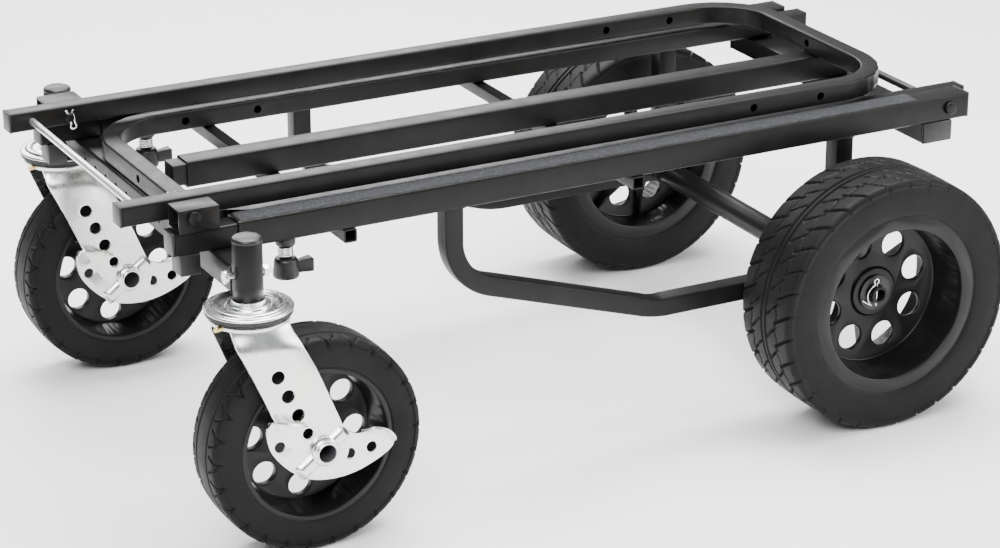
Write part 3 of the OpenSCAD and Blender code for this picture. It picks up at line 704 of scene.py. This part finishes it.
def springs_and_knobs():
    """The lock screws: a coil spring above each knob with its wing."""
    s_lo, s_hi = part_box("lock_springs")
    top, bottom = s_hi[2] + 0.4 * MM, s_lo[2] - 0.4 * MM
    for name, side in SIDES:
        mid = mid_of(name + "_outer_rail")
        knob_lo, knob_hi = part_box(name + "_lock_knob")
        x, y = knob_lo[0] + 12 * MM, mid.y
        turns, per = 5.5, 28
        steps = int(turns * per)
        pts = []
        for i in range(steps + 1):
            t = i / steps
            ease = smoothstep(0, 0.14, t) * (1 - smoothstep(0.86, 1, t))
            squash = t + 0.02 * math.sin(TAU * t) * ease
            a = TAU * turns * t
            pts.append((x + 6.1 * MM * math.cos(a), y + 6.1 * MM * math.sin(a),
                        bottom + 0.9 * MM + (top - bottom - 1.8 * MM) * squash))
        wire(name + "_lock_spring_look", pts, 0.85 * MM, "zinc_steel", "rear_frame",
             ("lock_springs",) if side < 0 else (), 10)
        body = (knob_lo[2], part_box("lock_springs")[0][2] - 0.6 * MM)
        h = body[1] - body[0]
        profile = [(0, 0), (9.6, 0), (11.2, 0.5), (11.9, 1.8), (11.9, 4), (11.4, 8), (10.9, 13),
                   (10.6, h / MM - 3.0), (9.8, h / MM - 1.2), (8.4, h / MM - 0.3),
                   (4.2, h / MM - 0.3)]
        profile = [(r * MM, z * MM) for r, z in profile]
        lathed = lathe_mesh("knob", profile, about_z(Vector((x, y, body[0]))), 64)
        tab = [(7, 3.4), (14, 4.2), (21, 5.6), (25, 6.4)]
        rings = []
        for d, w in tab:
            z0, z1 = body[0] + 2.6 * MM, body[0] + (13.2 + 0.12 * (d - 7)) * MM
            rings.append([Vector((x + d * MM, y + sy * w * MM, z)) for sy, z in
                          ((-1, z0), (1, z0), (1, z1), (-1, z1))])
        v, f = sweep(rings)
        tab_obj = new_object("tab", mesh_from("tab", v, f))
        bevel(tab_obj, 1.4 * MM, 3, 30)
        screw = cylinder_mesh((x, y, body[0] + h - 1 * MM), (x, y, knob_hi[2]), 4 * MM, 32)
        mesh = join_meshes(name + "_lock_knob_look", [lathed, tab_obj.data, screw])
        bpy.data.objects.remove(tab_obj)
        obj = new_object(name + "_lock_knob_look", mesh)
        finish_piece(obj, "black_plastic", BODY_OF[name + "_lock_knob"], (name + "_lock_knob",), 45)


def axle_clips():
    """The bent spring clips through the ends of the rear axle."""
    lo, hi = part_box("axle_clips")
    axle = mid_of("rear_axle")
    for name, side in SIDES:
        y = (lo[1] + 1.2 * MM) if side < 0 else (hi[1] - 1.2 * MM)
        ring = [(-2.2 + 2.5 * math.sin(a), 13.6 - 2.6 * math.cos(a))
                for a in np.linspace(0.55, TAU - 0.55, 14)]
        pts = [(-1.6, -11.5), (-1.4, -4), (-1.1, 6), (-1.0, 10.6)] + ring
        pts += [(-4.2, 10.2), (-7.6, 7.4), (-10.2, 1.5), (-9.8, -6.0), (-6.4, -11.2), (-9.5, -9.4),
                (-18.0, -3.6)]
        depth = [0.0] * 4 + [0.5] * len(ring) + [0.8, 0.2, -1.2, -1.4, -0.6, 0.4, 0.6]
        line = spline([Vector((axle.x + u * MM, y + side * d * MM, axle.z + v * MM))
                       for (u, v), d in zip(pts, depth)], 4)
        wire(name + "_axle_clip_look", line, 0.8 * MM, "zinc_steel", "rear_frame",
             ("axle_clips",) if side < 0 else (), 10)


def pin_clips():
    """The small wire clips that hang from the handle pivot pins."""
    lo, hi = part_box("pivot_pin_clips")
    z, x = (lo[2] + hi[2]) / 2, (lo[0] + hi[0]) / 2
    for name, side in SIDES:
        y = (lo[1] + 0.9 * MM) if side < 0 else (hi[1] - 0.9 * MM)
        pts = [(-3, 7), (-1, 3), (1.6, -6)]
        pts += [(4 + 2.8 * math.sin(a), -9.4 - 2.8 * math.cos(a))
                for a in np.linspace(-1.7, 2.2, 9)]
        pts += [(5.2, -4.5), (5.0, 0), (2.8, 4.6), (4.4, 7)]
        pts = [(x + u * MM, y, z + v * MM) for u, v in pts]
        wire(name + "_pin_clip_look", spline(pts, 4), 0.85 * MM, "zinc_steel", "front_frame",
             ("pivot_pin_clips",) if side < 0 else (), 10)


def caster_plates():
    """The pressed raceway plate with its rings, the collar round the socket and the kingpin."""
    for name, side in SIDES:
        lo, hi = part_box(name + "_caster_stem")
        socket = mid_of(name + "_caster_stem")
        r = (hi[0] - lo[0]) / 2 / MM
        z0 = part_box("caster_sockets")[0][2] - 9 * MM
        top = [(12.5, 8.4), (14.6, 8.4), (15.0, 7.9), (15.2, 5.5), (16.2, 5.2), (17.8, 5.15),
               (19.4, 4.6), (20.2, 3.3), (21.0, 2.6), (24.0, 2.4), (26.4, 2.7), (28.4, 3.9),
               (30.0, 4.75), (31.6, 4.9), (33.0, 4.4), (34.0, 3.3), (34.9, 2.7), (36.6, 2.6),
               (38.0, 2.4), (r - 0.5, 1.9), (r, 1.2), (r, 0.4), (r - 0.6, 0.0)]
        under = [(30.0, 0.0), (12.2, 0.0), (12.2, -10.0), (11.2, -10.4), (0.0, -10.4)]
        line = [(p.x, p.y) for p in spline([Vector(p) for p in top], 4)]
        profile = [(a * MM, b * MM) for a, b in line + under]
        mesh = lathe_mesh(name + "_caster_plate_look", profile,
                          about_z(Vector((socket.x, side * abs(socket.y), z0))), 144)
        inner = cylinder_mesh((socket.x, socket.y, z0 + 4 * MM), (socket.x, socket.y, hi[2]),
                              11.3 * MM)
        mesh = join_meshes(name + "_caster_plate_look", [mesh, inner])
        obj = new_object(name + "_caster_plate_look", mesh)
        node = name + "_caster_stem"
        finish_piece(obj, "zinc_steel", BODY_OF[node], (node,), 45)


def caster_axles():
    """The hollow axle with its large thin nuts, one each side of the fork."""
    for name, _ in SIDES:
        node = name + "_caster_axle"
        lo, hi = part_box(node)
        center = mid_of(node)
        center.y = mid_of(name + "_caster_tyre").y
        tips = ((center.y - hi[1]) / MM - 1.2, (center.y - lo[1]) / MM + 1.4)
        r = (hi[0] - lo[0]) / 2 / MM
        profile = [(8.5, tips[0]), (9.6, tips[0]), (10.1, tips[0] + 0.5), (10.1, -39.4),
                   (r - 1.4, -39.4), (r, -38.2), (r, -34.6), (r - 0.6, -33.7), (9.2, -33.7),
                   (9.2, 36.8), (r - 0.6, 36.8), (r, 37.7), (r, 41.2), (r - 1.4, 42.4),
                   (10.1, 42.4), (10.1, tips[1] - 0.6), (9.5, tips[1]), (8.5, tips[1])]
        mesh = lathe_mesh(node + "_look", [(a * MM, b * MM) for a, b in profile + profile[:1]],
                          about_y(center, -1), 72)
        obj = new_object(node + "_look", mesh)
        finish_piece(obj, "zinc_steel", BODY_OF[node], (node,), 40)
        lining = [(8.55, tips[0] + 2), (8.55, tips[1] - 2.5), (8.2, tips[1] - 2.5),
                  (8.2, tips[0] + 2), (8.55, tips[0] + 2)]
        lining = [(a * MM, b * MM) for a, b in lining]
        mesh = lathe_mesh(node + "_bore", lining, about_y(center, -1), 48)
        obj = new_object(node + "_bore", mesh)
        finish_piece(obj, "bush_plastic", BODY_OF[node], (), 40)


def rim_ribs():
    """Eight tapering ribs behind each rear rim's web, between the holes."""
    for name, side in SIDES:
        node = name + "_rear_rim"
        c = mid_of(node)
        verts, faces = [], []
        for i in range(8):
            a = side * -math.radians(18 + 22.5 + 45 * i)
            radial = Vector((math.cos(a), 0, math.sin(a)))
            across = Vector((-math.sin(a), 0, math.cos(a)))
            n = len(verts)
            for t in (-2.0, 2.0):
                for r, h in ((23, -8.5), (75, -8.5), (74.5, -15), (60, -18), (40, -25), (23, -36)):
                    thick = t * (1 if h > -10 else 0.7)
                    verts.append(c + radial * (r * MM) + across * (thick * MM)
                                 + Vector((0, side * h * MM, 0)))
            faces += [tuple(range(n, n + 6)), tuple(range(n + 11, n + 5, -1))]
            faces += [(n + k, n + (k + 1) % 6, n + 6 + (k + 1) % 6, n + 6 + k) for k in range(6)]
        obj = new_object(node + "_ribs", mesh_from(node + "_ribs", verts, faces))
        bevel(obj, 0.6 * MM, 2, 30)
        finish_piece(obj, "rim_plastic", BODY_OF[node], (), 40)


def lerp_table(table, z):
    """Reads x from (z, x) pairs that run downward."""
    for (z0, x0), (z1, x1) in zip(table, table[1:]):
        if z >= z1:
            t = (z - z0) / (z1 - z0)
            return x0 + (x1 - x0) * t
    return table[-1][1]


def fork_leg(name, side, axle, swivel_x, y_axis, crown_z, leg_in, leg_out):
    """A pressed leg: flat at the axle, curving in and round under the crown plate."""
    end_r = 24 * MM
    left = [(crown_z, -27), (crown_z - 18 * MM, -24.5), (141.6 * MM, 4.5), (110 * MM, 21),
            (axle.z, 28)]
    right = [(crown_z, 27), (crown_z - 12 * MM, 30.5), (crown_z - 44 * MM, 46), (109.6 * MM, 75.5),
             (axle.z, 76)]
    zs = [crown_z - (crown_z - axle.z) * (i / 44) for i in range(45)]
    zs += [axle.z - end_r * math.sin(math.pi / 2 * i / 14) for i in range(1, 14)]
    cols = 18
    grids = []
    for depth in (leg_out, leg_in):
        grid = []
        for z in zs:
            if z >= axle.z:
                xl, xr = lerp_table(left, z) * MM, lerp_table(right, z) * MM
            else:
                w = math.sqrt(max(0, end_r ** 2 - (z - axle.z) ** 2))
                xl, xr = axle.x - swivel_x - w, axle.x - swivel_x + w
            row = []
            drop = crown_z - z
            bend = 9.0 * MM * (1 - smoothstep(0, 30 * MM, drop)) ** 2
            wrap_in = 5.5 * MM * (1 - smoothstep(4 * MM, 62 * MM, drop))
            for k in range(cols + 1):
                u = -1 + 2 * k / cols
                x = swivel_x + xl + (xr - xl) * k / cols
                y = depth - bend - wrap_in * abs(u) ** 2.2
                row.append(Vector((x, y_axis + side * y, z)))
            grid.append(row)
        grids.append(grid)
    rows, count = len(zs), cols + 1
    verts = [p for grid in grids for row in grid for p in row]
    base = rows * count
    faces = []
    for i in range(rows - 1):
        for k in range(cols):
            a = i * count + k
            faces.append((a, a + 1, a + 1 + count, a + count))
            faces.append((base + a, base + a + count, base + a + 1 + count, base + a + 1))
        for k in (0, cols):
            a, b = i * count + k, (i + 1) * count + k
            faces.append((a, b, base + b, base + a))
    for k in range(cols):
        for i in (0, rows - 1):
            a = i * count + k
            faces.append((a, a + 1, base + a + 1, base + a))
    return mesh_from(name, verts, faces)


def caster_forks():
    """The crown plate and two pressed legs with their rows of holes."""
    for name, _ in SIDES:
        node = name + "_caster_fork"
        lo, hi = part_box(node)
        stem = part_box(name + "_caster_stem")
        swivel_x, y_axis = (stem[0][0] + stem[1][0]) / 2, (stem[0][1] + stem[1][1]) / 2
        axle = mid_of(name + "_caster_axle")
        axle.x = mid_of(name + "_caster_tyre").x
        leg_out = (hi[1] - lo[1]) / 2
        crown_z = hi[2] - 7 * MM
        top = [(8.2, 7.0), (30.0, 7.0), (32.6, 6.6), (34.2, 5.6), (35.4, 3.6), (36.4, 3.2),
               (36.8, 1.6), (36.2, 0.2), (33.5, -1.6), (30.5, -2.0), (8.2, -2.0), (8.2, 7.0)]
        crown = lathe_mesh("crown", [(r * MM, z * MM) for r, z in top],
                           about_z(Vector((swivel_x, y_axis, crown_z))), 128)
        parts = [crown]
        for leg_side in (-1, 1):
            skin = fork_leg("leg", leg_side, axle, swivel_x, y_axis, crown_z + 2 * MM,
                            leg_out - 4 * MM, leg_out)
            leg = new_object("leg", skin)
            outer = y_axis + leg_side * (leg_out + 5 * MM)
            inner = y_axis + leg_side * (leg_out - 22 * MM)
            spots = [(axle.x - (6 + 9 * i) * MM, axle.z + 19.5 * i * MM, 6.25 * MM)
                     for i in (1, 2, 3, 4)]
            spots.append((axle.x, axle.z, 10.6 * MM))
            holes = [((x, outer, z), (x, inner, z), r) for x, z, r in spots]
            cut(leg, holes)
            bevel(leg, 0.6 * MM, 2, 45)
            parts.append(leg.data)
            bpy.data.objects.remove(leg)
        obj = new_object(node + "_look", join_meshes(node + "_look", parts))
        finish_piece(obj, "zinc_steel", BODY_OF[node], (node,), 42)


def thicken(obj, thickness):
    mod = obj.modifiers.new("thick", "SOLIDIFY")
    mod.thickness = thickness
    mod.offset = 0
    return applied(obj)


ROCKER = [(-51, 37), (-42, 34), (-34, 31), (-17, 27), (0, 24), (10, 20.5), (18, 17), (30, 10.5),
          (38, 10), (46, 11), (56, 7), (63, 1), (68, -5), (64, -12), (50, -20), (30, -27),
          (9, -29), (-11, -26), (-25, -19), (-35, -11), (-44, -1), (-51, 10), (-54, 22),
          (-54, 32)]
LIPS = ([(-54, 31.5), (-50.5, 36), (-42, 34), (-34, 31.2), (-26, 29), (-17, 26.8)],
        [(36, 10.6), (46, 11.4), (56, 7.6), (63, 1.6), (67.6, -4.4)])


def brake_rockers():
    """The pedal plate with its holes, pressed rib and two curled foot lips."""
    for name, _ in SIDES:
        node = name + "_brake_rocker"
        axle = mid_of(name + "_caster_axle")
        y_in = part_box(node)[1][1]
        outline = [(p.x * MM, p.y * MM) for p in spline([Vector(p) for p in ROCKER], 5, True)]
        t = 2.2 * MM
        rings = [[Vector((axle.x + x, y, axle.z + z)) for x, z in outline]
                 for y in (y_in, y_in - t)]
        v, f = sweep(rings)
        plate = new_object("plate", mesh_from("plate", v, f))
        holes = [(-42, 12, 5.0), (-15, 19.5, 5.0), (25, -8, 5.0), (46, -6, 5.0), (0, 0, 10.6)]
        cut(plate, [((axle.x + x * MM, y_in + 4 * MM, axle.z + z * MM),
                     (axle.x + x * MM, y_in - 8 * MM, axle.z + z * MM), r * MM)
                    for x, z, r in holes])
        bevel(plate, 0.35 * MM, 2, 40)
        parts = [plate.data]
        for path in LIPS:
            line = [(p.x, p.y) for p in spline([Vector(p) for p in path], 6)]
            rows, n = 9, len(line)
            verts = []
            for k, (x, z) in enumerate(line):
                u = k / (n - 1)
                fade = math.sin(math.pi * min(1, max(0, 0.12 + 0.76 * u))) ** 0.6
                for j in range(rows + 1):
                    w = j / rows
                    out = 11.8 * w * fade
                    lift = (3.6 * math.sin(math.pi * 0.5 * w) - 0.8 + 2.2 * w ** 3) * fade
                    verts.append(Vector((axle.x + x * MM, y_in - t * 0.5 - out * MM,
                                         axle.z + (z + lift) * MM)))
            faces = [(k * (rows + 1) + j, (k + 1) * (rows + 1) + j, (k + 1) * (rows + 1) + j + 1,
                      k * (rows + 1) + j + 1) for k in range(n - 1) for j in range(rows)]
            lip = new_object("lip", mesh_from("lip", verts, faces))
            thicken(lip, 2.0 * MM)
            parts.append(lip.data)
            bpy.data.objects.remove(lip)
        rib_dir = Vector((0.80, 0.60))
        rib_n = Vector((-0.60, 0.80))
        for lo_t, hi_t in ((-32, -9.5), (9.5, 27)):
            rows, cols = 14, 10
            verts = []
            for k in range(rows + 1):
                d = lo_t + (hi_t - lo_t) * k / rows
                fade = smoothstep(0, 0.25, k / rows) * (1 - smoothstep(0.75, 1, k / rows)) \
                    if abs(d) > 12 else 1.0
                end = smoothstep(0, 0.22, (k if lo_t < 0 else rows - k) / rows)
                for j in range(cols + 1):
                    w = -1 + 2 * j / cols
                    h = 5.0 * end * (1 - abs(w) ** 3.2)
                    p = rib_dir * d + rib_n * (w * 8.2)
                    verts.append(Vector((axle.x + p.x * MM, y_in - t - (h - 0.15) * MM,
                                         axle.z + p.y * MM)))
            faces = [(k * (cols + 1) + j, (k + 1) * (cols + 1) + j, (k + 1) * (cols + 1) + j + 1,
                      k * (cols + 1) + j + 1) for k in range(rows) for j in range(cols)]
            parts.append(mesh_from("rib", verts, faces))
        mesh = join_meshes(node + "_look", parts)
        bpy.data.objects.remove(plate)
        obj = new_object(node + "_look", mesh)
        finish_piece(obj, "zinc_steel", BODY_OF[node], (node,), 42)


def weld(name, points, radius, body, seed=1):
    """A rippled weld bead along the points."""
    dense = []
    pts = [Vector(p) for p in points]
    for a, b in zip(pts, pts[1:]):
        n = max(1, int((b - a).length / (0.8 * MM)))
        dense += [a.lerp(b, k / n) for k in range(n)]
    dense.append(pts[-1])
    rng = random.Random(seed)
    rings, normal = [], None
    n = len(dense)
    for i, p in enumerate(dense):
        t = (dense[min(i + 1, n - 1)] - dense[max(i - 1, 0)]).normalized()
        normal = t.orthogonal() if normal is None else normal - t * normal.dot(t)
        normal.normalize()
        side = t.cross(normal)
        r = radius * (0.92 + 0.14 * math.sin(i * 1.9) + 0.16 * (rng.random() - 0.5))
        if i in (0, n - 1):
            r *= 0.4
        rings.append([p + (normal * math.cos(TAU * k / 10) + side * math.sin(TAU * k / 10)) * r
                      for k in range(10)])
    verts, faces = sweep(rings)
    obj = new_object(name, mesh_from(name, verts, faces))
    return finish_piece(obj, "powder_coat", body, (), 60)


def ring_points(center, radius):
    """A closed circle of points about a line along Y."""
    return [(center[0] + math.cos(TAU * k / 40) * radius, center[1],
             center[2] + math.sin(TAU * k / 40) * radius) for k in range(41)]


def welds():
    """Beads where the braces meet the rails and the axle, and the sockets meet the cross tube."""
    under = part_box("left_outer_rail")[0][2]
    axle = mid_of("rear_axle")
    for name, side in SIDES:
        lo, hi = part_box(name + "_brace_tube")
        half = (hi[1] - lo[1]) / 2
        cy = (lo[1] + hi[1]) / 2
        cx = lo[0] + half
        for k, x in enumerate((cx, axle.x)):
            loop = [(x - half, cy - half, under), (x + half, cy - half, under),
                    (x + half, cy + half, under), (x - half, cy + half, under),
                    (x - half, cy - half, under)]
            weld("%s_top_weld_%d" % (name, k), loop, 1.5 * MM, "rear_frame", 3 + k)
        for k, dy in enumerate((-half - 0.2 * MM, half + 0.2 * MM)):
            weld("%s_axle_weld_%d" % (name, k), ring_points((axle.x, cy + dy, axle.z), 12.9 * MM),
                 1.5 * MM, "rear_frame", 7 + k)
        c_lo, c_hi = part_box("caster_cross_tube")
        s_lo, s_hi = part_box("caster_sockets")
        cx = (s_lo[0] + s_hi[0]) / 2
        socket_y = side * (s_hi[1] - 13.5 * MM)
        tube = (c_lo[2], c_hi[2])
        inner = socket_y - side * 12.4 * MM
        loop = [(c_lo[0], inner, tube[0]), (c_lo[0], inner, tube[1]), (c_hi[0], inner, tube[1]),
                (c_hi[0], inner, tube[0])]
        weld(name + "_socket_weld", loop, 1.6 * MM, "front_frame", 11)


grip_tapes()
springs_and_knobs()
axle_clips()
pin_clips()
caster_plates()
caster_axles()
rim_ribs()
caster_forks()
brake_rockers()
welds()

SOFT_EDGES = {
    "rear_posts": 1.2, "rear_axle": 0.5, "rail_end_plugs": 1.0, "axle_washers": 0.5,
    "lock_collars": 0.8, "rear_pivot_rod": 1.5, "center_tube_insert": 1.2, "caster_sockets": 0.4,
    "handle_brackets": 0.8, "nose_blocks": 1.2, "inner_rail_caps": 0.8, "handle_pivot_pins": 0.6,
    "stem_lock_pins": 0.4, "front_handle_rod": 0.4, "front_handle_caps": 0.9,
    "rear_handle_caps": 0.9, "socket_caps": 0.3,
}
for side_name, _ in SIDES:
    for part, width in (("caster_rim", 1.0),
                        ("rear_rim", 1.2),
                        ("grease_fitting", 0.3)):
        SOFT_EDGES[side_name + "_" + part] = width
for node, width in SOFT_EDGES.items():
    soften(node, width * MM)

for node, obj in frame["nodes"].items():
    obj.data.materials.clear()
    obj.data.materials.append(MATS[SLOT_OF[node]])

# ---------------------------------------------------------------------- stage
rail_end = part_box("left_outer_rail")[1][0]


def area_light(name, place, target, size, power):
    light = bpy.data.lights.new(name, "AREA")
    light.shape = "RECTANGLE"
    light.size, light.size_y = size
    light.energy = power
    obj = new_object(name, light)
    obj.location = place
    obj.rotation_euler = (Vector(target) - Vector(place)).to_track_quat("-Z", "Y").to_euler()
    return obj


floor_mesh = mesh_from("floor", [(-8, -6, 0), (8, -6, 0), (8, 9, 0), (-8, 9, 0)], [(0, 1, 2, 3)])
floor = new_object("floor", floor_mesh)
floor_mat = make_material("floor", (0.97, 0.97, 0.97), rough=(0.7, 0.8), tone=0.01, tone_scale=3,
                          grain=200, bump=0.02)
floor.data.materials.append(floor_mat)

area_light("key", (-1.6, -2.2, 2.6), (0, 0, 0.15), (2.2, 1.6), 150)
area_light("top", (0.3, 0.4, 2.6), (0, 0, 0.2), (2.6, 1.8), 225)
area_light("fill", (2.2, -1.6, 1.2), (0, 0, 0.2), (1.4, 1.4), 55)
area_light("rim", (0.4, 2.8, 1.6), (0, 0, 0.2), (2.4, 1.0), 70)
world = bpy.data.worlds.new("studio")
world.use_nodes = True
world_nodes, world_links = world.node_tree.nodes, world.node_tree.links
sky_coord = world_nodes.new("ShaderNodeTexCoord").outputs["Generated"]
sky = ramp(world_nodes, world_links, noise_node(world_nodes, world_links, sky_coord, 1.0, 1.0, 0.4),
           [(0.36, (0.10, 0.10, 0.11)), (0.47, (0.62, 0.63, 0.65)), (0.6, (0.98, 0.99, 1.0))])
world_links.new(sky, world_nodes["Background"].inputs["Color"])
world_nodes["Background"].inputs["Strength"].default_value = 0.5
bpy.context.scene.world = world

camera_data = bpy.data.cameras.new("camera")
camera_data.lens = 110.2
camera_data.sensor_width = 36
camera = new_object("camera", camera_data)
back = Vector((-0.43434, -0.82228, 0.36772)).normalized()
right = Vector((0, 0, 1)).cross(back).normalized()
up = back.cross(right)
place = Vector((rail_end - 1.7440, -2.4979, 1.2326))
camera.matrix_world = Matrix((
    (right.x, up.x, back.x, place.x), (right.y, up.y, back.y, place.y),
    (right.z, up.z, back.z, place.z), (0, 0, 0, 1)))
bpy.context.scene.camera = camera
